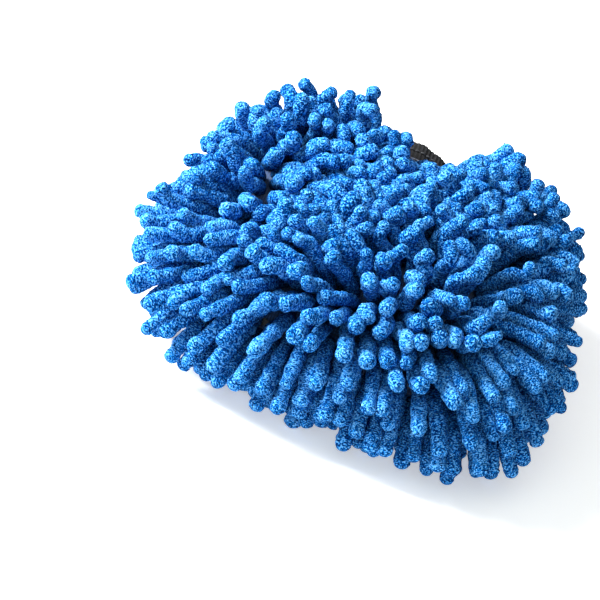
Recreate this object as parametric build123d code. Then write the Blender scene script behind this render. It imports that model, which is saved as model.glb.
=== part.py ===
from build123d import *
import math
import os

# Chenille wash mitt lying palm down on a flat table.
# X runs across the hand, +Y points out of the cuff, +Z is up.

# Body: the fabric bag that holds the hand. It is a little wider at the fingers than at the
# shoulders, and its middle sags towards the cuff.
BODY_HALF_WIDTH = 72.0
BODY_HALF_HEIGHT = 18.0
FINGER_REACH = 86.0
SHOULDER_REACH = 78.0
MID_HEIGHT = 37.0
TAPER = 0.1
FABRIC = 1.6
FRONT_SQUARENESS = 4.5
SHOULDER_SQUARENESS = 4.0
FRONT_ROUNDNESS = 2.6
SECTION_SQUARENESS = 3.0
SECTION_POINTS = 28

# Cuff: a knitted tube with a folded hem that holds an elastic band.
CUFF_HEIGHT = 30.0
CUFF_RADIUS = 23.0
CUFF_WALL = 1.5
CUFF_START = 77.0
CUFF_END = 114.0
HEM_DEPTH = 15.0
HEM_CHANNEL = 1.0
HEM_WALL = 1.0
ELASTIC_WIDTH = 10.0
ELASTIC_THICKNESS = 0.7
COLLAR_END = 84.0
COLLAR_GAP = 0.3
NECK_RADIUS = CUFF_RADIUS + COLLAR_GAP + FABRIC

# Sewing.
SEAM_HEIGHT = MID_HEIGHT
SEAM_GAP = 1.0
SEAM_THREAD = 0.7
STITCH_WIDTH = 0.8
STITCH_LIFT = 0.05
STITCH_HEIGHT = 0.5

# Chenille tufts, sewn on in rows across the mitt.
TUFT_DIAMETER = 6.8
TUFT_LENGTH = 36.0
TUFT_PITCH = 9.0
TUFT_GAP = 0.3
TIP_FLAT = 0.5
TOP_ROW_PITCH = 11.0
UNDER_ROW_PITCH = 19.0
EDGE_ROW_ANGLES = (0, 16, -16, 32, -32, 50, -50)
OUTWARD_LEAN = 0.35
SIDE_DROOP = 0.8

TUFT_RADIUS = TUFT_DIAMETER / 2
TUFT_AXIS = TUFT_LENGTH - TUFT_DIAMETER


def share(reach, limit, power):
    """How much of the full size is left at this reach: 1 in the middle, 0 at the limit."""
    part = min(abs(reach) / limit, 1.0)
    return (1 - part**power) ** (1 / power)


def shoulder_share(y, skin):
    """How much of the bag is left towards the cuff: 1 from the middle back, 0 at the neck."""
    return share(max(y, 0), SHOULDER_REACH - skin, SHOULDER_SQUARENESS)


def half_width(y, skin=0.0):
    """Half width of the bag at y, a given depth inside its outer skin."""
    reach = FINGER_REACH if y < 0 else SHOULDER_REACH
    full = (BODY_HALF_WIDTH - skin) * (1 - TAPER * min(y / reach, 1))
    if y < 0:
        return full * share(y, FINGER_REACH - skin, FRONT_SQUARENESS)
    neck = NECK_RADIUS - skin
    return neck + (full - neck) * shoulder_share(y, skin)


def half_height(y, skin=0.0):
    """Half height of the bag at y, a given depth inside its outer skin."""
    full = BODY_HALF_HEIGHT - skin
    if y < 0:
        return full * share(y, FINGER_REACH - skin, FRONT_ROUNDNESS)
    neck = NECK_RADIUS - skin
    return neck + (full - neck) * shoulder_share(y, skin)


def middle_height(y, skin=0.0):
    """Height of the bag's middle above the table at y."""
    return CUFF_HEIGHT + (MID_HEIGHT - CUFF_HEIGHT) * shoulder_share(y, skin)


def section_point(y, angle, skin=0.0):
    """A point on the bag's section at y: an oval in the body, a circle at the neck."""
    power = 2 + (SECTION_SQUARENESS - 2) * shoulder_share(y, skin)
    cosine = math.cos(angle)
    sine = math.sin(angle)
    grow = (abs(cosine) ** power + abs(sine) ** power) ** (-1 / power)
    rise = half_height(y, skin) * sine * grow
    return Vector(half_width(y, skin) * cosine * grow, y, middle_height(y, skin) + rise)


def bag_section(y, skin):
    """The closed outline of the bag at y."""
    turns = [2 * math.pi * number / SECTION_POINTS for number in range(SECTION_POINTS)]
    outline = Spline(*[section_point(y, turn, skin) for turn in turns], periodic=True)
    return make_face(outline)


def bag_solid(skin, collar_end):
    """The whole bag, closed at the fingers, with a round collar at the cuff."""
    sections = []
    for step in range(-12, 13):
        turn = math.sin(math.radians(80 * step / 12))
        reach = FINGER_REACH if step < 0 else SHOULDER_REACH
        sections.append(bag_section(turn * (reach - skin), skin))
    sections.append(bag_section(SHOULDER_REACH - skin, skin))
    sections.append(bag_section(collar_end, skin))
    return loft(sections, ruled=True)


def slab(low, high):
    """A wide block between two heights."""
    return Pos(0, 0, (low + high) / 2) * Box(400, 400, high - low)


def backing(upper):
    """One face of the bag: the base fabric that the tufts are sewn to."""
    shell = bag_solid(0.0, COLLAR_END) - bag_solid(FABRIC, COLLAR_END + 2)
    if upper:
        return shell & slab(SEAM_HEIGHT + SEAM_GAP / 2, SEAM_HEIGHT + 60)
    return shell & slab(SEAM_HEIGHT - 60, SEAM_HEIGHT - SEAM_GAP / 2)


def side_seam():
    """The line of thread that closes the two faces of the bag round its edge."""
    inset = (FABRIC - SEAM_THREAD) / 2
    ring = bag_solid(inset, COLLAR_END - 1) - bag_solid(inset + SEAM_THREAD, COLLAR_END + 2)
    return ring & slab(SEAM_HEIGHT - SEAM_THREAD / 2, SEAM_HEIGHT + SEAM_THREAD / 2)


def turned_about_cuff(outline):
    """A ring about the cuff's axis, from its outline given as (radius, y) corners."""
    corners = [(radius, y, 0) for radius, y in outline]
    face = make_face(Polyline(*corners, close=True))
    return Pos(0, 0, CUFF_HEIGHT) * revolve(face, axis=Axis.Y)


def cuff_knit():
    """The knitted tube, turned back inside itself at the mouth to make the hem."""
    inner = CUFF_RADIUS - CUFF_WALL
    hem_outer = inner - HEM_CHANNEL
    hem_inner = hem_outer - HEM_WALL
    return turned_about_cuff(
        [
            (inner, CUFF_START),
            (CUFF_RADIUS, CUFF_START),
            (CUFF_RADIUS, CUFF_END),
            (hem_inner, CUFF_END),
            (hem_inner, CUFF_END - HEM_DEPTH),
            (hem_outer, CUFF_END - HEM_DEPTH),
            (hem_outer, CUFF_END - CUFF_WALL),
            (inner, CUFF_END - CUFF_WALL),
        ]
    )


def cuff_elastic():
    """The flat elastic band inside the hem."""
    outer = CUFF_RADIUS - CUFF_WALL - (HEM_CHANNEL - ELASTIC_THICKNESS) / 2
    inner = outer - ELASTIC_THICKNESS
    end = CUFF_END - CUFF_WALL - 1.0
    start = end - ELASTIC_WIDTH
    return turned_about_cuff([(inner, start), (outer, start), (outer, end), (inner, end)])


def stitch_ring(radius, y):
    """The line of stitching round a tube of this radius."""
    inner = radius + STITCH_LIFT
    outer = inner + STITCH_HEIGHT
    start = y - STITCH_WIDTH / 2
    end = y + STITCH_WIDTH / 2
    return turned_about_cuff([(inner, start), (outer, start), (outer, end), (inner, end)])


def skin_normal(y, angle):
    """The outward direction on the outside of the bag."""
    around = section_point(y, angle + 0.01) - section_point(y, angle - 0.01)
    along = section_point(y + 0.2, angle) - section_point(y - 0.2, angle)
    return along.cross(around).normalized()


def tuft_lean(y, angle, root):
    """The way a tuft points: up and outwards on top, over on its side underneath."""
    normal = skin_normal(y, angle)
    spread_x = OUTWARD_LEAN * root.X / BODY_HALF_WIDTH
    spread_y = OUTWARD_LEAN * y / FINGER_REACH
    if math.sin(angle) >= 0:
        droop = SIDE_DROOP * (1 - max(normal.Z, 0)) ** 2
        return (normal + Vector(spread_x, spread_y, -droop)).normalized()
    under = min(1.0, -2 * normal.Z)
    swept = Vector(spread_x, math.copysign(1.0, y), 0) * under
    level = Vector(normal.X, normal.Y, 0) * (1 - under) + swept
    room = (root.Z - TUFT_RADIUS + TIP_FLAT) / TUFT_AXIS
    fall = min(0.34 + 0.25 * under, room)
    return level.normalized() * math.sqrt(1 - fall**2) - Vector(0, 0, fall)


def tuft_axis(y, angle):
    """The two ends of a tuft's axis, from its root just off the fabric to its tip."""
    root = section_point(y, angle) + skin_normal(y, angle) * (TUFT_RADIUS + TUFT_GAP)
    return root, root + tuft_lean(y, angle, root) * TUFT_AXIS


def spread(low, high, value):
    """A value kept between two limits."""
    return max(low, min(high, value))


def axis_distance(first, second):
    """The least distance between two straight axes."""
    a, b = first
    c, d = second
    u, v, w = b - a, d - c, a - c
    uu, uv, vv, uw, vw = u.dot(u), u.dot(v), v.dot(v), u.dot(w), v.dot(w)
    flat = uu * vv - uv * uv
    s = spread(0, 1, (uv * vw - vv * uw) / flat) if flat > 1e-9 else 0.0
    t = spread(0, 1, (uv * s + vw) / vv)
    s = spread(0, 1, (uv * t - uw) / uu)
    return (a + u * s - c - v * t).length


def clear_of_bag(axis):
    """Whether a tuft stays off the bag and the cuff all the way along."""
    root, tip = axis
    room = TUFT_RADIUS + TUFT_GAP / 2
    for step in range(7):
        point = root + (tip - root) * (step / 6)
        if point.Y > SHOULDER_REACH - 2:
            if math.hypot(point.X, point.Z - CUFF_HEIGHT) < NECK_RADIUS + 1 + room:
                return False
        elif point.Y > -FINGER_REACH:
            side = abs(point.X) / (half_width(point.Y) + room * 0.7)
            rise = abs(point.Z - middle_height(point.Y)) / (half_height(point.Y) + room * 0.7)
            if side**SECTION_SQUARENESS + rise**SECTION_SQUARENESS < 1:
                return False
    return True


def along_the_bag():
    """Closely spaced places along the bag, from the closed end to the shoulders."""
    places = []
    for step in range(-498, 499):
        reach = FINGER_REACH if step < 0 else SHOULDER_REACH
        places.append(reach * math.sin(math.pi / 2 * step / 500))
    return places


def row_places(pitch):
    """The rows' places along the mitt, an even step apart over the rounded edge."""
    places = []
    last = None
    for y in along_the_bag():
        here = section_point(y, math.radians(35))
        if last is None or (here - last).length >= pitch:
            places.append(y)
            last = here
    return places


def across_row(y, staggered, upper):
    """The tufts' places in one row across the bag, an even step apart from its middle."""
    middle = math.pi / 2 if upper else -math.pi / 2
    spots = [] if staggered else [(y, middle)]
    travelled = TUFT_PITCH / 2 if staggered else 0.0
    here = section_point(y, middle)
    for step in range(1, 900):
        offset = math.pi / 2 * step / 900
        there = section_point(y, middle + offset)
        travelled += (there - here).length
        here = there
        if travelled >= TUFT_PITCH:
            spots += [(y, middle + offset), (y, middle - offset)]
            travelled -= TUFT_PITCH
    return spots


def edge_row(angle):
    """The tufts' places in one row that runs round the bag's rounded edge."""
    spots = []
    travelled = 0.0
    here = None
    for y in along_the_bag():
        there = section_point(y, angle)
        if here is None or travelled + (there - here).length >= TUFT_PITCH:
            spots += [(y, angle), (y, math.pi - angle)]
            travelled = 0.0
        else:
            travelled += (there - here).length
        here = there
    return spots


def fitted_row(spots, taken):
    """The axes of one row's tufts, without any that has no room beside those before it."""
    row = []
    for y, angle in spots:
        axis = tuft_axis(y, angle)
        near = [other for other in taken if (other[0] - axis[0]).length < 3 * TUFT_LENGTH]
        if any(axis_distance(axis, other) < TUFT_DIAMETER + TUFT_GAP for other in near):
            continue
        if clear_of_bag(axis):
            taken.append(axis)
            row.append(axis)
    return row


def all_rows():
    """The axes of every tuft on the mitt, by the name of the row that it is sewn in."""
    taken = []
    wanted = []
    for number, y in enumerate(row_places(TOP_ROW_PITCH)):
        wanted.append(("top_row", across_row(y, number % 2 == 1, True)))
    for number, y in enumerate(row_places(UNDER_ROW_PITCH)):
        wanted.append(("under_row", across_row(y, number % 2 == 1, False)))
    for angle in EDGE_ROW_ANGLES:
        wanted.append(("edge_row", edge_row(math.radians(angle))))
    rows = {}
    counts = {}
    for kind, spots in wanted:
        row = fitted_row(spots, taken)
        if row:
            counts[kind] = counts.get(kind, 0) + 1
            rows[f"{kind}_{counts[kind]:02d}"] = row
    return rows


def tuft(axis):
    """One chenille finger with round ends, pressed flat where it meets the table."""
    root, tip = axis
    length = (tip - root).length
    profile = Line((0, -TUFT_RADIUS), (0, length + TUFT_RADIUS))
    profile += RadiusArc((0, length + TUFT_RADIUS), (TUFT_RADIUS, length), TUFT_RADIUS)
    profile += Line((TUFT_RADIUS, length), (TUFT_RADIUS, 0))
    profile += RadiusArc((TUFT_RADIUS, 0), (0, -TUFT_RADIUS), TUFT_RADIUS)
    finger = revolve(make_face(profile), axis=Axis.Y)
    placed = Plane(origin=root, z_dir=tip - root) * Rot(90, 0, 0) * finger
    if tip.Z < TUFT_RADIUS:
        placed = placed & slab(0, 200)
    return placed


def footprint_middle(rows):
    """The point at table height under the middle of the whole mitt."""
    ends = [end for row in rows.values() for axis in row for end in axis]
    left = min(end.X for end in ends)
    right = max(end.X for end in ends)
    front = min(end.Y for end in ends) - TUFT_RADIUS
    back = max(CUFF_END, max(end.Y for end in ends) + TUFT_RADIUS)
    return Vector((left + right) / 2, (front + back) / 2, 0)


ROWS = all_rows()
SHIFT = Pos(-footprint_middle(ROWS))
PIECES = {
    "backing_top": backing(True),
    "backing_under": backing(False),
    "side_seam": side_seam(),
    "cuff_knit": cuff_knit(),
    "cuff_elastic": cuff_elastic(),
    "hem_stitches": stitch_ring(CUFF_RADIUS, CUFF_END - HEM_DEPTH + 1),
    "cuff_stitches": stitch_ring(NECK_RADIUS, COLLAR_END - 2),
}
for name, row in ROWS.items():
    PIECES[name] = Compound(children=[tuft(axis) for axis in row])

os.makedirs("parts", exist_ok=True)
for name, piece in PIECES.items():
    export_step(SHIFT * piece, f"parts/{name}.step")
whole = Compound(children=[SHIFT * piece for piece in PIECES.values()]).bounding_box()
print("tufts", sum(len(row) for row in ROWS.values()))
print("overall size", whole.min, whole.max)
print("middle moved by", SHIFT.position)
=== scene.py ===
import math

import bpy
import numpy as np
from mathutils import Matrix, Vector, kdtree


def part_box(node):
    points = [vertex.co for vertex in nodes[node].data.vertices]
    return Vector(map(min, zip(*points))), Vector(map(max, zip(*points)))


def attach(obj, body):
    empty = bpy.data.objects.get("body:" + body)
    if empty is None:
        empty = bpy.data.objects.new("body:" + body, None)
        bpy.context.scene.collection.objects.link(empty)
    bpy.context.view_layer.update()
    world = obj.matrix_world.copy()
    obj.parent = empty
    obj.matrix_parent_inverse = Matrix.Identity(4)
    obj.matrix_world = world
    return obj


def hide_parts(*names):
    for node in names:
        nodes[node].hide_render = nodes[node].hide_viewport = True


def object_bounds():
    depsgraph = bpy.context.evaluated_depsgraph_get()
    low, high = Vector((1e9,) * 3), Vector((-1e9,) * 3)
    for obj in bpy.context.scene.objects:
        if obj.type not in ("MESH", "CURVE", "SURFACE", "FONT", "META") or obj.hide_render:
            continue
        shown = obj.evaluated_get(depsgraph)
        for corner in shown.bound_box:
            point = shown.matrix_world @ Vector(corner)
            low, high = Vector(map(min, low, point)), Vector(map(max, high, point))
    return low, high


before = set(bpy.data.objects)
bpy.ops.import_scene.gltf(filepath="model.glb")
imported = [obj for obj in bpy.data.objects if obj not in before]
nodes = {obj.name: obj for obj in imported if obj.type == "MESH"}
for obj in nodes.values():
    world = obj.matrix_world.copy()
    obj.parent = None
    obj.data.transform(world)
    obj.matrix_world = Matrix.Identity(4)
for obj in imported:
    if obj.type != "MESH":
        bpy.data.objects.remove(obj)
cad_box = [list(corner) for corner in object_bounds()]
SEED = 7
rng = np.random.default_rng(SEED)

# ---------------------------------------------------------------- the bag's shape, as in the CAD
upper_low, upper_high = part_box("backing_top")
lower_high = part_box("backing_under")[1]
cuff_low, cuff_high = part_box("cuff_knit")
HALF_WIDTH = 0.072
HALF_HEIGHT = 0.018
FRONT = 0.086
BACK = 0.078
TAPER = 0.1
SQUARE = 3.0
NECK = 0.0249
COLLAR = 0.006
FRONT_OUTLINE = 4.5
FRONT_EDGE = 2.6
NECK_CURVE = 4.0
MID_Z = (upper_low.z + lower_high.z) / 2
CUFF_Z = (cuff_low.z + cuff_high.z) / 2
CUFF_R = (cuff_high.x - cuff_low.x) / 2
CUFF_START = cuff_low.y
CUFF_END = cuff_high.y
COLLAR_END = upper_high.y
SHOULDER = upper_high.y - COLLAR
MID_Y = SHOULDER - BACK


def share(part, power):
    """How much of the full size is left, from 1 in the middle to 0 at the limit."""
    return (1 - np.minimum(np.abs(part), 1.0) ** power) ** (1 / power)


def y_at(turn):
    """The y of a place along the bag, from -1 at the front to 1 at the shoulder."""
    return MID_Y + np.where(turn < 0, turn * FRONT, turn * BACK)


def half_width(y):
    """Half width of the bag at y."""
    front = (y - MID_Y) / FRONT
    back = (y - MID_Y) / BACK
    full = HALF_WIDTH * (1 - TAPER * np.where(y < MID_Y, front, back))
    closed = full * share(front, FRONT_OUTLINE)
    necked = NECK + (full - NECK) * share(back, NECK_CURVE)
    return np.where(y < MID_Y, closed, necked)


def half_height(y):
    """Half height of the bag at y."""
    closed = HALF_HEIGHT * share((y - MID_Y) / FRONT, FRONT_EDGE)
    necked = NECK + (HALF_HEIGHT - NECK) * share((y - MID_Y) / BACK, NECK_CURVE)
    return np.where(y < MID_Y, closed, necked)


def squareness(y):
    """How square the bag's section is at y: 2 is an ellipse, more is flatter on top."""
    back = share((y - MID_Y) / BACK, NECK_CURVE)
    return np.where(y < MID_Y, SQUARE, 2 + (SQUARE - 2) * back)


def middle_height(y):
    """Height of the bag's middle at y: it sags towards the cuff."""
    back = share((y - MID_Y) / BACK, NECK_CURVE)
    return np.where(y < MID_Y, MID_Z, CUFF_Z + (MID_Z - CUFF_Z) * back)


def skin_point(y, angle):
    """Points on the outside of the bag."""
    power = squareness(y)
    cosine, sine = np.cos(angle), np.sin(angle)
    grow = (np.abs(cosine) ** power + np.abs(sine) ** power) ** (-1 / power)
    x = half_width(y) * cosine * grow
    z = middle_height(y) + half_height(y) * sine * grow
    return np.stack([x, y + 0 * x, z], -1)


def skin_normal(y, angle):
    """Outward directions on the outside of the bag."""
    step, swing = 0.0001, 0.01
    around = skin_point(y, angle + swing) - skin_point(y, angle - swing)
    low = np.maximum(y - step, MID_Y - FRONT)
    high = np.minimum(y + step, SHOULDER)
    along = skin_point(high, angle) - skin_point(low, angle)
    normal = np.cross(along, around)
    return normal / np.linalg.norm(normal, axis=-1, keepdims=True)


# ---------------------------------------------------------------- where the fingers are sewn on
FINGER_R = 0.0034
FINGER_LENGTH = 0.0375
LINKS = 7
LINK = (FINGER_LENGTH - 2 * FINGER_R) / (LINKS - 1)


def scattered_places(number):
    """Evenly random places over the whole bag, as (y, angle)."""
    even = rng.uniform(-1, 1, number * 8)
    turn = np.sin(even * math.pi / 2)
    y = y_at(turn)
    angle = rng.uniform(-math.pi, math.pi, len(y))
    step, swing = 0.0002, 0.01
    low = np.maximum(y - step, MID_Y - FRONT)
    high = np.minimum(y + step, SHOULDER)
    along = (skin_point(high, angle) - skin_point(low, angle)) / (high - low)[:, None]
    around = (skin_point(y, angle + swing) - skin_point(y, angle)) / swing
    area = np.linalg.norm(np.cross(along, around), axis=1) * np.sqrt(1 - turn**2 + 1e-4)
    chosen = rng.uniform(0, 1, len(y)) < area / np.quantile(area, 0.995)
    return np.stack([y, angle], 1)[chosen][:number]


NEIGHBOURS = [(x, y, z) for x in (-1, 0, 1) for y in (-1, 0, 1) for z in (-1, 0, 1)]


def thinned(points, least):
    """Which points to keep so that none is nearer than its own least distance to one before it."""
    keep = []
    grid = {}
    size = least.max()
    cells = np.floor(points / size).astype(int)
    for index, point in enumerate(points):
        x, y, z = cells[index]
        close = False
        for place in NEIGHBOURS:
            for other in grid.get((x + place[0], y + place[1], z + place[2]), ()):
                gap = points[other] - point
                if gap @ gap < least[index] ** 2:
                    close = True
                    break
            if close:
                break
        if not close:
            keep.append(index)
            grid.setdefault((x, y, z), []).append(index)
    return np.array(keep)


def smooth_noise(points, size, seed):
    """A gentle random vector at each point, from the sum of a few waves of this length."""
    waves, full = 7, 2.6
    own = np.random.default_rng(seed)
    total = np.zeros((len(points), 3))
    for _ in range(waves):
        wave = own.normal(0, 1, 3)
        wave *= 2 * math.pi / size / np.linalg.norm(wave)
        phase = own.uniform(0, 2 * math.pi, 3)
        total += np.sin(points @ wave[:, None] + phase[None, :]) * own.normal(0, 1, 3)
    return total / full


# how closely the fingers are sewn, and where on the upper face that differs
TOP_SPACING, TOP_EDGE_CLOSER = 0.0075, 0.0017
UNDER_SPACING, UNDER_EDGE_CLOSER = 0.0080, 0.0016
CROWN, CROWN_SIZE, CROWN_CLOSER = (0.004, -0.058), (0.040, 0.019), 0.27
CALM, CALM_SIZE, CALM_WIDER = (-0.045, 0.015), 0.028, 0.06
PARTINGS = ((-0.034, 0.070), (-0.062, 0.036), (0.056, 0.032))
PARTING_SIZE, PARTING_CLOSER = 0.020, 0.14


def nearness(place, size):
    """How near each seat is to a place seen from above, from 1 at the place down to 0."""
    return np.exp(-np.sum(((seats[:, :2] - np.array(place)) / size) ** 2, 1) / 2)


TRIES = 14000
places = scattered_places(TRIES)
seats = skin_point(places[:, 0], places[:, 1])
# normals are taken just inside the bag's ends, where they are still defined
normals = skin_normal(np.clip(places[:, 0], MID_Y - FRONT * 0.998, SHOULDER - 1e-4), places[:, 1])
rim = 1 - np.abs(normals[:, 2])
top_spacing = TOP_SPACING - TOP_EDGE_CLOSER * rim
under_spacing = UNDER_SPACING - UNDER_EDGE_CLOSER * rim
spacing = np.where(normals[:, 2] > -0.2, top_spacing, under_spacing)
spacing *= 1 - CROWN_CLOSER * nearness(CROWN, CROWN_SIZE)
spacing *= 1 + CALM_WIDER * nearness(CALM, CALM_SIZE)
for parting in PARTINGS:
    spacing *= 1 - PARTING_CLOSER * nearness(parting, PARTING_SIZE)
kept = thinned(seats, spacing)
places, seats, normals = places[kept], seats[kept], normals[kept]
COUNT = len(seats)


# how the pile lies: a place seen from above, and the way the fingers around it lean
LEANS = (
    ((-0.027, 0.001), (0.10, -0.90, 0.35)),
    ((-0.008, 0.041), (0.00, -0.85, 0.45)),
    ((0.014, 0.009), (0.46, 0.39, 0.80)),
    ((0.038, 0.018), (0.39, 0.62, 0.70)),
    ((-0.015, -0.044), (-0.80, 0.00, 0.55)),
    ((0.011, -0.024), (-0.37, 0.35, 0.80)),
    ((0.015, -0.055), (0.00, -0.70, 0.75)),
    ((-0.050, -0.012), (0.60, -0.75, 0.20)),
    ((-0.048, 0.033), (0.90, -0.45, 0.25)),
    ((-0.036, 0.060), (0.30, -0.55, 0.55)),
    ((-0.044, 0.082), (-0.38, 0.00, 0.85)),
    ((-0.022, 0.080), (-0.28, -0.08, 0.90)),
    ((0.007, 0.078), (0.10, -1.30, 0.10)),
    ((0.032, 0.080), (0.45, 0.05, 0.80)),
    ((0.047, 0.078), (0.20, 0.20, 1.00)),
    ((0.074, 0.043), (0.95, 0.30, 0.20)),
    ((0.080, -0.014), (0.95, -0.30, -0.05)),
    ((0.062, -0.078), (0.80, -0.75, -0.30)),
    ((0.015, -0.083), (0.25, -1.00, -0.20)),
    ((-0.045, -0.080), (-0.22, -0.95, -0.30)),
    ((-0.075, -0.067), (-1.00, -0.50, 0.00)),
    ((-0.080, -0.007), (-1.00, 0.10, 0.15)),
    ((-0.074, 0.038), (-0.65, -0.25, 0.45)),
)
LEAN_REACH = 0.018
OUTWARD, BACK_OUTWARD = 0.30, 0.55
BACK_START, BACK_LENGTH = 0.050, 0.030
SWIRL, SWIRL_SIZE, STRAY = 0.16, 0.055, 0.08
UNDER_FLAT, UNDER_OUTWARD, UNDER_STRAY = 0.9, 0.5, 0.25


def pile_lean():
    """The lean at every finger, blended from the places around it."""
    spots = np.array([spot for spot, _ in LEANS])
    leans = np.array([lean for _, lean in LEANS])
    gap = seats[:, None, :2] - spots[None]
    weight = np.exp(-np.sum(gap**2, 2) / (2 * LEAN_REACH**2)) + 1e-6
    return (weight @ leans) / weight.sum(1, keepdims=True)


def wanted_directions():
    """The way each finger first points from its root."""
    out = seats - np.array([0, MID_Y, MID_Z])
    out[:, 2] = 0
    out[:, 0] /= HALF_WIDTH
    out[:, 1] /= FRONT
    lower = np.clip(-normals[:, 2], 0, 1)[:, None]
    swirl = smooth_noise(seats, SWIRL_SIZE, 3) * np.array([1, 1, 0.3])
    stray = rng.normal(0, 1, (COUNT, 3))
    back = np.clip((seats[:, 1] - BACK_START) / BACK_LENGTH, 0, 1)
    outward = (OUTWARD + BACK_OUTWARD * (1 - np.abs(normals[:, 2])) * back)[:, None]
    way = outward * normals + pile_lean() + SWIRL * swirl + STRAY * stray
    # fingers of the underside point away from the middle, mostly to the nearer end of the mitt
    flat = np.clip(2.5 * out[:, 1:2], -1, 1) * np.array([[0, 1.0, 0]]) + out
    under = flat * UNDER_FLAT + normals * UNDER_OUTWARD + UNDER_STRAY * stray
    way = way * (1 - lower) + lower * under
    return way / np.linalg.norm(way, axis=1, keepdims=True)


# ---------------------------------------------------------------- letting the fingers settle
LONGEST_STEP = 0.0015


def outside_bag(points, room):
    """Push points out of the bag and the cuff, until there is this much room between."""
    y = np.clip(points[:, 1], MID_Y - FRONT, SHOULDER)
    wide = half_width(y) + room
    high = half_height(y) + room
    power = squareness(y)
    rise = points[:, 2] - middle_height(y)
    part_x = np.abs(points[:, 0]) / wide
    part_z = np.abs(rise) / high
    level = (part_x**power + part_z**power) ** (1 / power)
    inside = (level < 1) & (points[:, 1] > MID_Y - FRONT) & (points[:, 1] < SHOULDER + room)
    out_x = np.sign(points[:, 0]) * part_x ** (power - 1) / wide
    out_z = np.sign(rise) * part_z ** (power - 1) / high
    length = np.hypot(out_x, out_z) + 1e-9
    step = np.where(inside, np.clip((1 - level) * level / length, 0, LONGEST_STEP), 0) / length
    points = points.copy()
    points[:, 0] += out_x * step
    points[:, 2] += out_z * step
    distance = np.hypot(points[:, 0], points[:, 2] - CUFF_Z)
    least = NECK + 0.001 + room
    close = (points[:, 1] > SHOULDER - 0.004) & (distance < least)
    scale = np.where(close, least / np.maximum(distance, 1e-6), 1.0)
    points[:, 0] *= scale
    points[:, 2] = CUFF_Z + (points[:, 2] - CUFF_Z) * scale
    return points


def near_pairs(points, finger, reach):
    """Pairs of beads of different fingers that are closer than reach."""
    cell = np.floor(points / reach).astype(np.int64) + 512
    key = (cell[:, 0] << 40) + (cell[:, 1] << 20) + cell[:, 2]
    order = np.argsort(key, kind="stable")
    ranked = key[order]
    firsts, seconds = [], []
    for dx, dy, dz in NEIGHBOURS:
        shift = (dx << 40) + (dy << 20) + dz
        if shift < 0:
            continue
        start = np.searchsorted(ranked, key + shift, "left")
        stop = np.searchsorted(ranked, key + shift, "right")
        number = stop - start
        first = np.repeat(np.arange(len(points)), number)
        base = np.repeat(start, number)
        within = np.arange(number.sum()) - np.repeat(np.cumsum(number) - number, number)
        second = order[base + within]
        good = finger[first] != finger[second]
        if shift == 0:
            good &= first < second
        firsts.append(first[good])
        seconds.append(second[good])
    first = np.concatenate(firsts)
    second = np.concatenate(seconds)
    apart = np.linalg.norm(points[first] - points[second], axis=1)
    return first[apart < reach], second[apart < reach]


GRAVITY = 0.00014
DRAG = 0.80
TOP_SPEED = 0.0012
STIFFNESS = 0.05
ROOT_STIFFNESS = 0.10
MEMORY = (0.003, 0.009)
PASSES = 3
ROUNDS, QUICK_ROUNDS = 500, 60
CONTACT = 0.94
SEARCH, SEARCH_EVERY = 1.35, 4
PUSH, LONGEST_PUSH = 0.6, 0.002
ROOT_LIFT = 0.0004
LENGTH_SPREAD, JITTER = 0.045, 0.0004
EDGE_ROOM = 0.8


def settle(rounds):
    """Relax every finger as a limp chain of beads, and return the beads' places."""
    way = wanted_directions()
    root = seats + normals * ROOT_LIFT
    span = LINK * rng.normal(1.0, LENGTH_SPREAD, COUNT)
    steps = np.arange(LINKS)[None, :, None]
    beads = root[:, None, :] + way[:, None, :] * (steps * span[:, None, None])
    beads += rng.normal(0, JITTER, beads.shape)
    sewn = beads.copy()
    memory = MEMORY[0] + (MEMORY[1] - MEMORY[0]) * np.clip(normals[:, 2], 0, 1)[:, None, None]
    finger = np.repeat(np.arange(COUNT), LINKS)
    width = FINGER_R * 2 * CONTACT
    last = beads.copy()
    limit_low = np.array(cad_box[0]) + FINGER_R * EDGE_ROOM
    limit_high = np.array(cad_box[1]) - FINGER_R * EDGE_ROOM
    for turn in range(rounds):
        speed = (beads - last) * DRAG
        last = beads.copy()
        beads = beads + np.clip(speed, -TOP_SPEED, TOP_SPEED)
        beads[:, 1:, 2] -= GRAVITY
        flat = beads.reshape(-1, 3)
        if turn % SEARCH_EVERY == 0:
            first, second = near_pairs(flat, finger, width * SEARCH)
        for _ in range(PASSES):
            gap = flat[first] - flat[second]
            apart = np.linalg.norm(gap, axis=1) + 1e-9
            push = np.clip(width - apart, 0, LONGEST_PUSH) * 0.5
            move = gap / apart[:, None] * push[:, None] * PUSH
            for axis in range(3):
                flat[:, axis] += np.bincount(first, move[:, axis], len(flat))
                flat[:, axis] -= np.bincount(second, move[:, axis], len(flat))
            flat = outside_bag(flat, FINGER_R * 0.9)
            flat[:, 2] = np.maximum(flat[:, 2], FINGER_R * 0.93)
            beads = flat.reshape(COUNT, LINKS, 3)
            beads[:, 0] = root
            beads[:, 1] += (root + way * span[:, None] - beads[:, 1]) * ROOT_STIFFNESS
            beads += (sewn - beads) * memory
            for link in range(2, LINKS):
                before = beads[:, link - 1] - beads[:, link - 2]
                aim = beads[:, link - 1] + before
                beads[:, link] += (aim - beads[:, link]) * STIFFNESS
            for link in range(1, LINKS):
                run = beads[:, link] - beads[:, link - 1]
                length = np.linalg.norm(run, axis=1, keepdims=True) + 1e-9
                fix = run * (1 - span[:, None] / length)
                if link == 1:
                    beads[:, link] -= fix
                else:
                    beads[:, link] -= fix * 0.5
                    beads[:, link - 1] += fix * 0.5
            beads[:, 0] = root
            flat = beads.reshape(-1, 3)
        flat = np.clip(flat, limit_low, limit_high)
        beads = flat.reshape(COUNT, LINKS, 3)
        beads[:, 0] = root
    return beads


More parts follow.
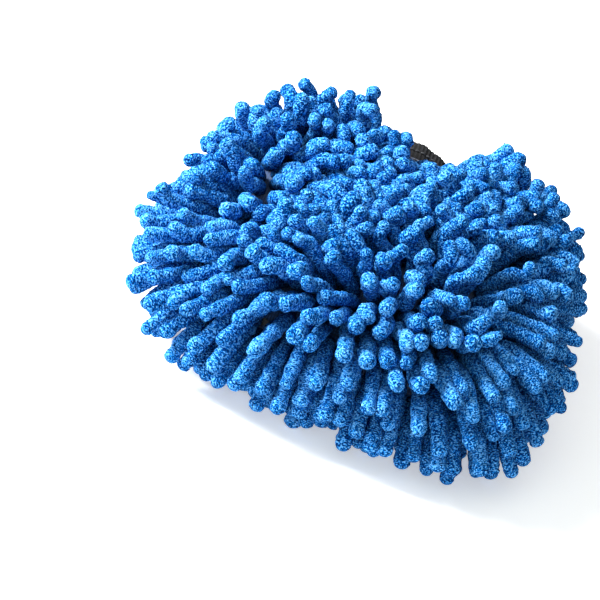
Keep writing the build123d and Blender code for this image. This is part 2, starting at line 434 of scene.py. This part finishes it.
# ---------------------------------------------------------------- finger meshes
RINGS = 40
DOME_RINGS = 7
SIDES = 18
ROOT_NARROWER, ROOT_PART = 0.20, 0.12
GRAIN, HOOPS, LUMPS, UNEVEN = 0.00016, 0.020, 0.030, 0.05
LUMP_ROUNDS, LUMP_SHRINK = 4, 1.9
YARN_SHIFT = 0.0371
ROW_HEIGHT = 0.012
# a direction that no finger or stitch follows
ASKEW = np.array([0.31, 0.52, 0.79])


def smooth_paths(beads):
    """Even points along a smooth line through each finger's beads."""
    first = 2 * beads[:, :1] - beads[:, 1:2]
    final = 2 * beads[:, -1:] - beads[:, -2:-1]
    ends = np.concatenate([first, beads, final], 1)
    spans = LINKS - 1
    t = np.linspace(0, spans, RINGS)
    index = np.minimum(t.astype(int), spans - 1)
    u = (t - index)[None, :, None]
    a, b, c, d = (ends[:, index + k] for k in range(4))
    return 0.5 * (2 * b + (c - a) * u + (2 * a - 5 * b + 4 * c - d) * u**2 + (3 * b - a - 3 * c + d) * u**3)


def ring_places():
    """Where the rings stand along a finger, from 0 to 1, and how thick it is at each."""
    body = RINGS - DOME_RINGS
    shaft = np.linspace(0, 1 - FINGER_R / FINGER_LENGTH, body, endpoint=False)
    dome = np.linspace(0, math.pi / 2 * 0.94, DOME_RINGS)
    fraction = np.concatenate([shaft, 1 - FINGER_R / FINGER_LENGTH * (1 - np.sin(dome))])
    thick = np.concatenate([np.ones(body), np.cos(dome)])
    return fraction, thick * (1 - ROOT_NARROWER + ROOT_NARROWER * np.clip(fraction / ROOT_PART, 0, 1))


def finger_vertices(beads):
    """Vertices of every finger, as finger x ring x side x 3, with rounded looped ends."""
    fraction, thick = ring_places()
    line = smooth_paths(beads)
    final = line[:, -1] - line[:, -2]
    final /= np.linalg.norm(final, axis=1, keepdims=True)
    line = np.concatenate([line, (line[:, -1] + final * FINGER_R)[:, None]], 1)
    run = np.cumsum(np.linalg.norm(np.diff(line, axis=1), axis=2), 1)
    run = np.concatenate([np.zeros((COUNT, 1)), run], 1)
    rings = np.zeros((COUNT, RINGS, 3))
    for index in range(COUNT):
        for axis in range(3):
            rings[index, :, axis] = np.interp(fraction * run[index, -1], run[index], line[index, :, axis])
    line = rings
    tangent = np.gradient(line, axis=1)
    tangent /= np.linalg.norm(tangent, axis=2, keepdims=True)
    side = np.cross(tangent[:, 0], ASKEW)
    frames = np.zeros_like(tangent)
    for ring in range(RINGS):
        side = side - tangent[:, ring] * np.sum(side * tangent[:, ring], 1, keepdims=True)
        side /= np.linalg.norm(side, axis=1, keepdims=True)
        frames[:, ring] = side
    other = np.cross(tangent, frames)
    turn = np.linspace(0, 2 * math.pi, SIDES, endpoint=False)
    # the looped yarn: slow lumps, uneven rings of loops and a coarse grain
    grain = rng.normal(0, 1, (COUNT, RINGS, SIDES))
    hoop = rng.normal(0, 1, (COUNT, RINGS, 1))
    lump = rng.normal(0, 1, (COUNT, RINGS, 1))
    for _ in range(LUMP_ROUNDS):
        lump = (lump + np.roll(lump, 1, 1) + np.roll(lump, -1, 1)) / LUMP_SHRINK
    fade = np.clip(thick, 0.25, 1)[None, :, None]
    width = FINGER_R * thick[None, :, None] * rng.normal(1.0, UNEVEN, (COUNT, 1, 1))
    width = width * (1 + HOOPS * hoop + LUMPS * lump) + GRAIN * grain * fade
    cosine = np.cos(turn)[None, None, :, None]
    sine = np.sin(turn)[None, None, :, None]
    circle = frames[:, :, None] * cosine + other[:, :, None] * sine
    vertices = line[:, :, None] + circle * width[..., None]
    vertices[..., 2] = np.maximum(vertices[..., 2], 0.0001)
    return vertices, fraction


def finger_faces(number):
    """Faces of this many fingers laid one after another."""
    ring = np.arange(RINGS - 1)[:, None] * SIDES
    a = ring + np.arange(SIDES)[None, :]
    b = ring + (np.arange(SIDES)[None, :] + 1) % SIDES
    quads = np.stack([a, b, b + SIDES, a + SIDES], -1).reshape(-1, 4)
    base = np.arange(number)[:, None, None] * (RINGS * SIDES)
    return (quads[None] + base).reshape(-1, 4)


def mesh_from(name, vertices, quads, extra=()):
    """A smooth mesh object from arrays of vertices and quads, with a few larger faces."""
    mesh = bpy.data.meshes.new(name)
    faces = quads.tolist() + [list(face) for face in extra]
    mesh.from_pydata(vertices.tolist(), [], faces)
    mesh.polygons.foreach_set("use_smooth", np.ones(len(faces), bool))
    mesh.update()
    piece = bpy.data.objects.new(name, mesh)
    bpy.context.scene.collection.objects.link(piece)
    return piece


def add_value(piece, name, values):
    """Store one number per vertex under a name for the material to read."""
    layer = piece.data.attributes.new(name, "FLOAT", "POINT")
    layer.data.foreach_set("value", np.asarray(values, np.float32).ravel())


def add_yarn(piece, chosen, fraction):
    """Store where each vertex lies on its own straight finger, for the yarn's grain."""
    turn = np.linspace(0, 2 * math.pi, SIDES, endpoint=False)
    across = np.stack([np.cos(turn), np.sin(turn)], 1) * FINGER_R
    spot = np.zeros((len(chosen), RINGS, SIDES, 3))
    spot[..., :2] = across
    spot[..., 2] = fraction[:, None] * FINGER_LENGTH
    spot += (chosen * YARN_SHIFT)[:, None, None, None]
    layer = piece.data.attributes.new("yarn", "FLOAT_VECTOR", "POINT")
    layer.data.foreach_set("vector", spot.astype(np.float32).ravel())


def make_rows():
    """One object per CAD row, made of the fingers nearest to that row's."""
    rows = sorted(name for name in nodes if "_row_" in name)
    tree = kdtree.KDTree(sum(len(nodes[name].data.vertices) for name in rows))
    owner = []
    for number, name in enumerate(rows):
        for vertex in nodes[name].data.vertices:
            tree.insert(vertex.co, len(owner))
            owner.append(number)
    tree.balance()
    beads = settle(ROUNDS)
    middle = seats + normals * ROW_HEIGHT
    mine = np.array([owner[tree.find(Vector(point))[1]] for point in middle])
    vertices, fraction = finger_vertices(beads)
    tone = rng.uniform(0, 1, COUNT)
    empty = []
    for number, name in enumerate(rows):
        chosen = np.flatnonzero(mine == number)
        if len(chosen) == 0:
            empty.append(name)
            continue
        quads = finger_faces(len(chosen))
        base = np.arange(len(chosen)) * RINGS * SIDES
        caps = [[b + k for k in range(SIDES)][::-1] for b in base]
        caps += [[b + (RINGS - 1) * SIDES + k for k in range(SIDES)] for b in base]
        piece = mesh_from("fingers_" + name, vertices[chosen].reshape(-1, 3), quads, caps)
        add_value(piece, "tone", np.repeat(tone[chosen], RINGS * SIDES))
        # where each vertex lies along its finger, which the chenille material uses for painted shade at the
        # root
        add_value(piece, "along", np.tile(np.repeat(fraction, SIDES), len(chosen)))
        add_yarn(piece, chosen, fraction)
        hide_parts(name)
        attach(piece, "root")
        piece.data.materials.append(chenille)
    for name in empty:
        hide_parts(name)
    print("fingers", COUNT, "rows with none", empty)


# ---------------------------------------------------------------- fabric, cuff and sewing
def finished(piece, material, slot, *replaced):
    """Give a piece its material and body, and hide the CAD nodes that it stands for; the slot is not used.
    """
    piece.data.materials.append(material)
    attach(piece, "root")
    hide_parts(*replaced)
    return piece


def grid_faces(rows, columns, wrap_rows, wrap_columns):
    """Faces of a grid of vertices that may join up in either direction."""
    down = np.arange(rows if wrap_rows else rows - 1)[:, None]
    over = np.arange(columns if wrap_columns else columns - 1)[None, :]
    below, beside = (down + 1) % rows, (over + 1) % columns
    corners = ((down, over), (down, beside), (below, beside), (below, over))
    return np.stack([row * columns + column for row, column in corners], -1).reshape(-1, 4)


def two_sided(name, outer, inner):
    """A sheet with a thickness, from the grids of its two sides."""
    rows, columns = outer.shape[:2]
    side = grid_faces(rows, columns, False, False)
    start = rows * columns
    rim = np.concatenate([
        np.arange(columns),
        np.arange(1, rows) * columns + columns - 1,
        (rows - 1) * columns + np.arange(columns - 2, -1, -1),
        np.arange(rows - 2, 0, -1) * columns,
    ])
    after = np.roll(rim, -1)
    edge = np.stack([after, rim, rim + start, after + start], -1)
    faces = np.concatenate([side, side[:, ::-1] + start, edge])
    return mesh_from(name, np.concatenate([outer.reshape(-1, 3), inner.reshape(-1, 3)]), faces)


FABRIC = 0.0013
PANEL_ROWS, COLLAR_ROWS, PANEL_COLUMNS = 110, 6, 150
PANEL_TIP = 0.9985
SEAM_ANGLE = 0.0005
DIMPLE, DIMPLE_SIZE = 0.0009, 0.0022
RIPPLE, RIPPLE_SIZE = 0.00035, 0.014


def panel(name, upper):
    """One face of the bag: fabric drawn in a little wherever a finger is sewn on."""
    body = y_at(np.sin(np.linspace(-PANEL_TIP, 1, PANEL_ROWS) * math.pi / 2))
    y = np.concatenate([body, np.linspace(SHOULDER, COLLAR_END, COLLAR_ROWS + 1)[1:]])
    angle = np.linspace(SEAM_ANGLE, math.pi - SEAM_ANGLE, PANEL_COLUMNS) * (1 if upper else -1)
    level = np.minimum(y, SHOULDER)[:, None] + 0 * angle[None, :]
    around = angle[None, :] + 0 * level
    outer = skin_point(level, around)
    normal = skin_normal(np.clip(level, MID_Y - FRONT * 0.9995, SHOULDER - 0.0001), around)
    outer[..., 1] = y[:, None]
    flat = outer.reshape(-1, 3)
    tree = kdtree.KDTree(COUNT)
    for number, seat in enumerate(seats):
        tree.insert(Vector(seat), number)
    tree.balance()
    nearest = np.array([tree.find(Vector(point))[2] for point in flat])
    dimple = DIMPLE * np.exp(-((nearest / DIMPLE_SIZE) ** 2))
    ripple = RIPPLE * smooth_noise(flat, RIPPLE_SIZE, 11)[:, 0]
    drawn = (ripple - dimple).reshape(*level.shape, 1) * (y < SHOULDER)[:, None, None]
    outer = outer + normal * drawn
    piece = two_sided(name, outer, outer - normal * FABRIC)
    finished(piece, base_fabric, "base_fabric", "backing_top" if upper else "backing_under")


RIBS = 72
HEM_DEPTH = 0.015
WALL = 0.0015
FOLD_MIDDLE, FOLD_REACH = 0.00175, 0.00155
KNIT_INSET, HEM_INSIDE, ROOT_INSIDE = 0.0002, 0.0025, 0.0015
HEM_RELIEF = 0.6
LOOP_LENGTH = 0.0016
VALLEY = 0.6
RIB_RELIEF, LOOP_RELIEF, HEM_DRAWN, GATHER = 0.00042, 0.00011, 0.0005, 0.00030
MOUTH_WIDER, MOUTH_LOWER, MOUTH_SAG = 0.07, 0.10, 0.0015


def limp(points):
    """Let the cuff sag out of round towards its mouth."""
    points = np.array(points)
    part = np.clip((points[..., 1] - COLLAR_END) / (CUFF_END - COLLAR_END), 0, 1)
    points[..., 0] *= 1 + MOUTH_WIDER * part
    rise = points[..., 2] - CUFF_Z
    points[..., 2] = CUFF_Z + rise * (1 - MOUTH_LOWER * part) - MOUTH_SAG * part
    return points


def on_cuff(radius, angle, y):
    """Points about the cuff's axis, sagged with the cuff."""
    radius, angle, y = np.broadcast_arrays(radius, angle, y)
    return limp(np.stack([radius * np.cos(angle), y, CUFF_Z + radius * np.sin(angle)], -1))


def cuff_profile():
    """The cuff's section from its root out to the mouth and back inside: y, radius and relief."""
    neck = CUFF_END - WALL
    hem = CUFF_END - HEM_DEPTH
    inside = neck - 0.0006
    fold = np.linspace(0, math.pi, 13)
    middle = CUFF_R - FOLD_MIDDLE
    fold_radius = middle + FOLD_REACH * np.cos(fold)
    fold_relief = 1 - (1 - HEM_RELIEF) * fold / math.pi
    out_y = np.arange(CUFF_START, neck, 0.00042)
    in_y = np.linspace(neck, hem, 22)[1:]
    back_y = np.linspace(hem, inside, 8)
    root_y = np.linspace(inside, CUFF_START, 8)
    stretches = (
        (out_y, 0 * out_y + CUFF_R - KNIT_INSET, 1 + 0 * out_y),
        (neck + WALL * np.sin(fold), fold_radius, fold_relief),
        (in_y, 0 * in_y + middle - FOLD_REACH, HEM_RELIEF + 0 * in_y),
        (back_y, 0 * back_y + CUFF_R - HEM_INSIDE, 0 * back_y),
        (root_y, 0 * root_y + CUFF_R - ROOT_INSIDE, 0 * root_y),
    )
    return (np.concatenate(part) for part in zip(*stretches))


def make_cuff():
    """The knitted cuff: fine ribs of knitted loops, gathered by the elastic in its hem."""
    y, radius, relief = (part[:, None] for part in cuff_profile())
    angle = np.linspace(0, 2 * math.pi, RIBS * 6, endpoint=False)[None, :]
    out = np.clip((y - CUFF_START) / (CUFF_END - CUFF_START), 0, 1)
    rib = np.abs(np.cos(angle * RIBS / 2)) ** 0.8 - VALLEY
    which = np.floor(angle * RIBS / (2 * math.pi) + 0.5)
    loop = np.cos(y * 2 * math.pi / LOOP_LENGTH + which * math.pi)
    gather = np.sin(11 * angle + 0.7 + 30 * y) + 0.8 * np.sin(17 * angle + 2.1) + 0.7 * np.sin(5 * angle + 4)
    hem_line = np.exp(-(((y - (CUFF_END - HEM_DEPTH + 0.001)) / 0.0012) ** 2))
    push = RIB_RELIEF * rib + LOOP_RELIEF * loop * (rib > -0.3) - HEM_DRAWN * hem_line
    push = (push + GATHER * gather * out) * relief
    points = on_cuff(radius + push, angle, y)
    faces = grid_faces(points.shape[0], points.shape[1], True, True)
    piece = mesh_from("cuff", points.reshape(-1, 3), faces[:, ::-1])
    # the rib's height, which the knit material also uses for painted shade between the ribs
    add_value(piece, "rib", np.broadcast_to((rib + VALLEY) + 0 * y, points.shape[:2]))
    finished(piece, knit, "cuff_knit", "cuff_knit")


def make_elastic():
    """The braided elastic band inside the hem."""
    low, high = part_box("cuff_elastic")
    outer = (high.x - low.x) / 2
    rows, columns = 25, 180
    clear = 0.0002
    y = np.linspace(low.y + clear, high.y - clear, rows)
    ridge = 0.00010 * np.cos(np.linspace(0, 12 * math.pi, rows))
    radius = np.concatenate([outer - clear + ridge, (outer - 0.0006 + ridge)[::-1]])[:, None]
    y = np.concatenate([y, y[::-1]])[:, None]
    angle = np.linspace(0, 2 * math.pi, columns, endpoint=False)[None, :]
    points = on_cuff(radius, angle, y)
    faces = grid_faces(2 * rows, columns, True, True)
    piece = mesh_from("elastic_band", points.reshape(-1, 3), faces[:, ::-1])
    finished(piece, elastic, "elastic", "cuff_elastic")


THREAD_SIDES = 8
STITCH_POINTS = 7


def make_stitches(name, paths, thickness, *replaced):
    """Separate stitches of thread, each following its own short path."""
    number, length = paths.shape[:2]
    tangent = np.gradient(paths, axis=1)
    tangent /= np.linalg.norm(tangent, axis=2, keepdims=True)
    side = np.cross(tangent, ASKEW)
    side /= np.linalg.norm(side, axis=2, keepdims=True)
    other = np.cross(tangent, side)
    turn = np.linspace(0, 2 * math.pi, THREAD_SIDES, endpoint=False)[None, None, :, None]
    swell = thickness * (0.55 + 0.45 * np.sin(np.linspace(0.05, 0.95, length) * math.pi))
    ring = (side[:, :, None] * np.cos(turn) + other[:, :, None] * np.sin(turn)) * swell[None, :, None, None]
    points = paths[:, :, None] + ring
    starts = np.arange(number) * length * THREAD_SIDES
    faces = (grid_faces(length, THREAD_SIDES, False, True)[None] + starts[:, None, None]).reshape(-1, 4)
    caps = [[s + k for k in range(THREAD_SIDES)][::-1] for s in starts]
    caps += [[s + (length - 1) * THREAD_SIDES + k for k in range(THREAD_SIDES)] for s in starts]
    piece = mesh_from(name, points.reshape(-1, 3), faces, caps)
    return finished(piece, thread, "thread", *replaced)


def stitch_circle(node, number):
    """Paths of a line of stitches round the cuff, at the place of a CAD stitch ring."""
    filled = 0.78
    low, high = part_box(node)
    radius = (high.x - low.x) / 2 - 0.0002
    start = np.arange(number)[:, None] * 2 * math.pi / number
    run = np.linspace(0, 2 * math.pi / number * filled, STITCH_POINTS)[None, :]
    lift = 0.0005 * np.sin(np.linspace(0, math.pi, STITCH_POINTS)) - 0.0004
    sway = 0.0002 * np.sin(np.arange(number) * 2.4)[:, None]
    return on_cuff(radius + lift[None, :], start + run, (low.y + high.y) / 2 + sway)


def seam_paths():
    """Paths of slanted stitches that close the two faces of the bag round its edge."""
    number = 105
    slant, reach, steepest = 0.0011, 0.0030, 0.7
    y = y_at(np.sin(np.linspace(-0.985, 0.97, number) * math.pi / 2))
    lean = np.linspace(-slant, slant, STITCH_POINTS)
    paths = []
    for side in (1, -1):
        level = np.clip(y[:, None] + lean[None, :], MID_Y - FRONT * 0.999, SHOULDER - 0.001)
        rise = np.linspace(-reach, reach, STITCH_POINTS)[None, :] / np.maximum(half_height(level), 0.004)
        angle = np.arcsin(np.clip(rise, -steepest, steepest)) * 0.8
        angle = angle if side > 0 else math.pi - angle
        lift = 0.0007 * np.sin(np.linspace(0, math.pi, STITCH_POINTS)) - 0.0002
        paths.append(skin_point(level, angle) + skin_normal(level, angle) * lift[None, :, None])
    return np.concatenate(paths)


# ---------------------------------------------------------------- materials
class Nodes:
    """A small helper for building a node material."""

    def __init__(self, name):
        self.material = bpy.data.materials.new(name)
        self.material.use_nodes = True
        self.tree = self.material.node_tree
        self.shader = self.tree.nodes["Principled BSDF"]

    def add(self, kind, **settings):
        node = self.tree.nodes.new(kind)
        for key, value in settings.items():
            setattr(node, key, value)
        return node

    def link(self, source, target):
        self.tree.links.new(source, target)

    def value(self, node, socket, amount):
        node.inputs[socket].default_value = amount

    def math(self, kind, first, second):
        node = self.add("ShaderNodeMath", operation=kind)
        for index, item in enumerate((first, second)):
            if isinstance(item, (int, float)):
                node.inputs[index].default_value = item
            else:
                self.link(item, node.inputs[index])
        return node.outputs[0]

    def scaled(self, source, factor, plus):
        """The source times a factor, plus a number or another source."""
        return self.math("ADD", self.math("MULTIPLY", source, factor), plus)

    def noise(self, scale, detail=2.0, vector=None, roughness=0.5):
        node = self.add("ShaderNodeTexNoise")
        self.value(node, "Scale", scale)
        self.value(node, "Detail", detail)
        self.value(node, "Roughness", roughness)
        self.link(vector or self.coords(), node.inputs["Vector"])
        return node.outputs["Fac"]

    def coords(self):
        return self.add("ShaderNodeTexCoord").outputs["Object"]

    def ramp(self, source, stops):
        node = self.add("ShaderNodeValToRGB")
        while len(node.color_ramp.elements) < len(stops):
            node.color_ramp.elements.new(0.5)
        for element, (place, colour) in zip(node.color_ramp.elements, stops):
            element.position = place
            element.color = (*colour, 1)
        self.link(source, node.inputs["Fac"])
        return node.outputs["Color"]

    def bump(self, source, strength, distance):
        node = self.add("ShaderNodeBump")
        self.value(node, "Strength", strength)
        self.value(node, "Distance", distance)
        self.link(source, node.inputs["Height"])
        self.link(node.outputs["Normal"], self.shader.inputs["Normal"])


def chenille_material():
    """Looped microfibre yarn: curls of pile over dark pits, with painted highlights on the curls and painted
    shade in the pits, and painted shade darkening each finger towards its root.
    """
    m = Nodes("chenille")
    yarn = m.add("ShaderNodeAttribute", attribute_name="yarn").outputs["Vector"]
    squeeze = m.add("ShaderNodeMapping")
    m.value(squeeze, "Scale", (0.9, 0.9, 1.7))
    m.link(yarn, squeeze.inputs["Vector"])
    curl = m.noise(1080, 1.0, squeeze.outputs["Vector"], 0.6)
    hair = m.noise(2400, 1.0, yarn)
    patch = m.noise(210, 1.0, yarn)
    tone = m.add("ShaderNodeAttribute", attribute_name="tone").outputs["Fac"]
    along = m.add("ShaderNodeAttribute", attribute_name="along").outputs["Fac"]
    pile = m.scaled(hair, 0.30, curl)
    shade = m.scaled(tone, 0.05, m.scaled(patch, 0.16, pile))
    # the speckle is partly the yarn's own uneven blue and partly painted light: its lightest stops are
    # painted highlights on the loops, its darkest stops painted shade in the pits between them
    colour = m.ramp(
        shade,
        (
            (0.65, (0.000, 0.020, 0.110)),
            (0.72, (0.000, 0.070, 0.310)),
            (0.77, (0.000, 0.140, 0.530)),
            (0.81, (0.014, 0.265, 0.800)),
            (0.88, (0.170, 0.510, 0.980)),
        ),
    )
    # painted shade: each finger is darkened towards its root, where the crowded pile shades it
    painted_root_shade = m.ramp(
        along,
        (
            (0.0, (0.10, 0.16, 0.22)),
            (0.55, (0.80, 0.84, 0.88)),
            (0.9, (1.0, 1.0, 1.0)),
        ),
    )
    # of this node's sockets, input 0 is the share, and inputs 6 and 7 and output 2 are colours
    shaded_colour = m.add("ShaderNodeMix", data_type="RGBA", blend_type="MULTIPLY")
    m.value(shaded_colour, 0, 1.0)
    m.link(colour, shaded_colour.inputs[6])
    m.link(painted_root_shade, shaded_colour.inputs[7])
    m.link(shaded_colour.outputs[2], m.shader.inputs["Base Color"])
    m.link(m.scaled(hair, 0.2, 0.75), m.shader.inputs["Roughness"])
    m.value(m.shader, "Sheen Weight", 0.06)
    m.value(m.shader, "Sheen Roughness", 0.5)
    m.value(m.shader, "Sheen Tint", (0.10, 0.55, 1.0, 1))
    m.value(m.shader, "Specular IOR Level", 0.03)
    m.bump(pile, 1.0, 0.0012)
    return m.material


def woven_material(name, dark, light, scale):
    """A plain weave in two shades of one colour."""
    m = Nodes(name)
    wave = m.add("ShaderNodeTexWave", wave_type="BANDS", bands_direction="X")
    other = m.add("ShaderNodeTexWave", wave_type="BANDS", bands_direction="Y")
    for node in (wave, other):
        m.value(node, "Scale", scale)
        m.value(node, "Distortion", 0.6)
        m.link(m.coords(), node.inputs["Vector"])
    weave = m.math("MULTIPLY", wave.outputs["Fac"], other.outputs["Fac"])
    weave = m.scaled(weave, 0.7, m.math("MULTIPLY", m.noise(300), 0.3))
    m.link(m.ramp(weave, ((0.1, dark), (0.9, light))), m.shader.inputs["Base Color"])
    m.link(m.scaled(weave, -0.15, 0.9), m.shader.inputs["Roughness"])
    m.value(m.shader, "Sheen Weight", 0.2)
    m.bump(weave, 0.6, 0.0004)
    return m.material


def knit_material():
    """Charcoal rib knit: matt loops, with painted shade making it black between the ribs and lighter on
    their tops, and stray lighter fibres.
    """
    m = Nodes("cuff_knit")
    rib = m.add("ShaderNodeAttribute", attribute_name="rib").outputs["Fac"]
    fibre = m.noise(1900, 3.0)
    loops = m.noise(700, 1.0)
    worn = m.noise(60, 2.0)
    # the rib's height in the colour is painted shade: darker in the valleys between ribs, lighter on the rib
    # tops
    blend = m.scaled(rib, 0.34, m.math("MULTIPLY", fibre, 0.38))
    blend = m.scaled(worn, 0.10, m.scaled(loops, 0.30, blend))
    stops = ((0.46, (0.001, 0.001, 0.001)), (0.70, (0.005, 0.005, 0.006)), (0.90, (0.045, 0.045, 0.050)))
    m.link(m.ramp(blend, stops), m.shader.inputs["Base Color"])
    m.link(m.scaled(fibre, 0.2, 0.75), m.shader.inputs["Roughness"])
    m.value(m.shader, "Sheen Weight", 0.04)
    m.value(m.shader, "Specular IOR Level", 0.10)
    m.bump(blend, 0.8, 0.0005)
    return m.material


def thread_material(name, dark, light):
    """Twisted thread, with its plies showing as fine bands."""
    m = Nodes(name)
    wave = m.add("ShaderNodeTexWave", wave_type="BANDS", bands_direction="DIAGONAL")
    m.value(wave, "Scale", 700.0)
    m.link(m.coords(), wave.inputs["Vector"])
    blend = m.scaled(wave.outputs["Fac"], 0.6, m.math("MULTIPLY", m.noise(900), 0.4))
    m.link(m.ramp(blend, ((0.2, dark), (0.8, light))), m.shader.inputs["Base Color"])
    m.link(m.scaled(blend, 0.2, 0.6), m.shader.inputs["Roughness"])
    m.bump(blend, 0.6, 0.0002)
    return m.material


chenille = chenille_material()
base_fabric = woven_material("base_fabric", (0.001, 0.014, 0.055), (0.006, 0.065, 0.22), 260.0)
knit = knit_material()
elastic = woven_material("elastic", (0.45, 0.45, 0.43), (0.8, 0.8, 0.78), 420.0)
thread = thread_material("thread", (0.008, 0.009, 0.012), (0.06, 0.065, 0.075))

THREAD_R, SEAM_THREAD_R = 0.00040, 0.00042
make_rows()
panel("fabric_top", True)
panel("fabric_under", False)
make_cuff()
make_elastic()
make_stitches("hem_seam", stitch_circle("hem_stitches", 50), THREAD_R, "hem_stitches")
make_stitches("collar_seam", stitch_circle("cuff_stitches", 54), THREAD_R, "cuff_stitches")
make_stitches("edge_seam", seam_paths(), SEAM_THREAD_R, "side_seam")


# ---------------------------------------------------------------- floor, lights and camera
def make_floor():
    """A wide pale floor under the mitt."""
    bpy.ops.mesh.primitive_plane_add(size=8, location=(0, 0, 0))
    floor = bpy.context.object
    floor.name = "floor"
    m = Nodes("floor")
    shades = ((0.3, (0.88, 0.88, 0.88)), (0.7, (0.92, 0.92, 0.92)))
    m.link(m.ramp(m.noise(3.0), shades), m.shader.inputs["Base Color"])
    m.value(m.shader, "Roughness", 0.8)
    m.value(m.shader, "Emission Color", (1, 1, 1, 1))
    m.value(m.shader, "Emission Strength", 0.45)
    floor.data.materials.append(m.material)


LIT = Vector((0, 0, 0.03))
CENTRE = Vector((0, 0, 0.035))
SENSOR = 36


def area_light(name, place, size, power, colour=(1, 1, 1)):
    """A soft square light aimed at the mitt."""
    data = bpy.data.lights.new(name, "AREA")
    data.size = size
    data.energy = power
    data.color = colour
    lamp = bpy.data.objects.new(name, data)
    lamp.location = place
    lamp.rotation_euler = (LIT - Vector(place)).to_track_quat("-Z", "Y").to_euler()
    bpy.context.scene.collection.objects.link(lamp)


def make_camera(azimuth, elevation, roll, distance, width, aside, above):
    """A long lens, rolled, that shows the mitt's middle off the centre by aside and above."""
    a, e, r = (math.radians(x) for x in (azimuth, elevation, roll))
    back = Vector((math.sin(a) * math.cos(e), -math.cos(a) * math.cos(e), math.sin(e)))
    right = Vector((math.cos(a), math.sin(a), 0))
    up = back.cross(right)
    across = right * math.cos(r) + up * math.sin(r)
    upward = up * math.cos(r) - right * math.sin(r)
    aim = CENTRE - across * aside - upward * above
    data = bpy.data.cameras.new("camera")
    data.sensor_width = SENSOR
    data.lens = SENSOR * distance / width
    camera = bpy.data.objects.new("camera", data)
    turned = Matrix((across, upward, back)).transposed().to_4x4()
    camera.matrix_world = Matrix.Translation(aim + back * distance) @ turned
    bpy.context.scene.collection.objects.link(camera)
    bpy.context.scene.camera = camera


make_floor()
area_light("key", (-1.28, -0.05, 0.90), size=0.7, power=92)
area_light("fill", (-0.4, -1.4, 0.9), size=1.4, power=7, colour=(0.75, 1.0, 0.9))
area_light("top", (-0.3, -0.4, 1.7), size=1.6, power=7)
world = bpy.data.worlds.new("studio")
world.use_nodes = True
background = world.node_tree.nodes["Background"]
background.inputs["Color"].default_value = (1, 1, 1, 1)
background.inputs["Strength"].default_value = 0.35
bpy.context.scene.world = world
bpy.context.scene.view_settings.view_transform = "Standard"
make_camera(
    azimuth=-0.5, elevation=30, roll=23.5, distance=1.4, width=0.2790, aside=0.0322, above=0.0128
)
